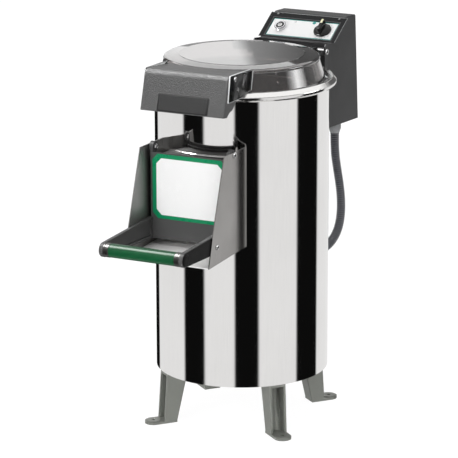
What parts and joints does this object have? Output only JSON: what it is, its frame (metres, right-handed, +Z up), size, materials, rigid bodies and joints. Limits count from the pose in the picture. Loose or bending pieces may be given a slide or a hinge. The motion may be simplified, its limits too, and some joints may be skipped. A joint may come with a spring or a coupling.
{
  "type": "electric potato peeler",
  "caption": "Upright drum peeler on cast legs: belt-driven abrasive disc, hinged clear lid, swing-up discharge door with handle, control box with timer and button.",
  "frame": {"origin": "on the drum axis at floor level, the centre of the circle of floor bolts", "axes": "+Z up along the drum axis, -Y towards the discharge door, +X to the right of someone facing the door"},
  "size_m": [0.433, 0.9413, 0.8869],
  "materials": {
    "mirror_steel": "mirror-polished stainless sheet",
    "brushed_steel": "brushed stainless steel",
    "plain_steel": "zinc-plated or plain steel",
    "cast_legs": "cast aluminium, grey-green paint",
    "cast_iron": "as cast",
    "motor_aluminium": "painted",
    "abrasive": "silicon carbide grit in resin",
    "disc_casting": "casting with an abrasive coat",
    "black_rubber": "matt black rubber",
    "dark_moulding": "fine-textured dark grey moulding",
    "box_paint": "dark charcoal powder coat",
    "clear_plastic": "clear, slightly smoky polycarbonate",
    "label_white": "printed film, green border",
    "green_plastic": "glossy green sleeve",
    "black_plastic": "black plastic",
    "button_green": "dark button cap",
    "chrome_trim": "satin chrome",
    "grey_plastic": "light grey nylon",
    "conduit_grey": "glossy blue-grey corrugated conduit",
    "brass": "plain brass"
  },
  "bodies": {
    "machine": {"abrasive_liner": "abrasive", "back_cover": "box_paint", "base_plate": "plain_steel", "box_brackets": "plain_steel", "box_screws": "plain_steel", "button_bezel": "chrome_trim", "cable_glands": "grey_plastic", "cheek_left": "brushed_steel", "cheek_pins": "brushed_steel", "cheek_right": "brushed_steel", "chute_floor": "brushed_steel", "conduit": "conduit_grey", "contactor": "black_plastic", "control_box": "box_paint", "door_gasket": "black_rubber", "door_neck": "brushed_steel", "drain_outlet": "brushed_steel", "drive_belt": "black_rubber", "drum_floor": "plain_steel", "hub_housing": "cast_iron", "leg_bolts": "plain_steel", "leg_front_left": "cast_legs", "leg_front_right": "cast_legs", "leg_rear_left": "cast_legs", "leg_rear_right": "cast_legs", "lid_pins": "brushed_steel", "lid_sensor": "black_plastic", "motor_housing": "motor_aluminium", "motor_plate": "plain_steel", "outer_casing": "mirror_steel", "panel_label": "label_white", "panel_plate": "box_paint", "plate_studs": "plain_steel", "rim_gasket": "black_rubber", "rim_ring": "mirror_steel", "shaft_bearings": "plain_steel", "shaft_seal": "black_rubber", "terminal_block": "grey_plastic", "timer_body": "black_plastic", "water_inlet": "brass"},
    "disc": {"peeling_disc": "disc_casting", "disc_shaft": "plain_steel", "disc_nut": "plain_steel", "disc_pulley": "cast_iron"},
    "rotor": {"motor_rotor": "plain_steel", "motor_pulley": "cast_iron"},
    "door": {"door_panel": "dark_moulding", "door_label": "label_white", "door_arms": "dark_moulding", "handle_bar": "brushed_steel", "handle_grip": "green_plastic", "handle_ferrules": "brushed_steel"},
    "lid": {"lid_shell": "clear_plastic", "lid_bracket": "mirror_steel", "hood": "dark_moulding", "grip_pad": "black_rubber", "hood_ears": "clear_plastic", "ear_screws": "brushed_steel"},
    "timer": {"timer_knob": "black_plastic"},
    "button": {"push_button": "button_green"}
  },
  "joints": [
    {"name": "disc_spin", "type": "hinge", "parent": "machine", "child": "disc", "pos_m": [0, 0, 0.3], "axis": [0, 0, 1], "continuous": true},
    {"name": "motor_spin", "type": "hinge", "parent": "machine", "child": "rotor", "pos_m": [0, 0.118, 0.25], "axis": [0, 0, 1], "continuous": true},
    {"name": "lid_hinge", "type": "hinge", "parent": "machine", "child": "lid", "pos_m": [0, 0.254, 0.822], "axis": [-1, 0, 0], "range_deg": [0, 95]},
    {"name": "door_hinge", "type": "hinge", "parent": "machine", "child": "door", "pos_m": [0, -0.245, 0.679], "axis": [-1, 0, 0], "range_deg": [0, 75]},
    {"name": "timer_turn", "type": "hinge", "parent": "machine", "child": "timer", "pos_m": [0.0535, 0.3175, 0.85856], "axis": [0, 0.53, -0.848], "range_deg": [0, 300]},
    {"name": "button_push", "type": "slide", "parent": "machine", "child": "button", "axis": [0, 0.53, -0.848], "range_m": [0, 0.0035], "stiffness_N_per_m": 600}
  ],
  "couplings": [
    {"joint": "motor_spin", "follows": "disc_spin", "ratio": 4.8857}
  ]
}
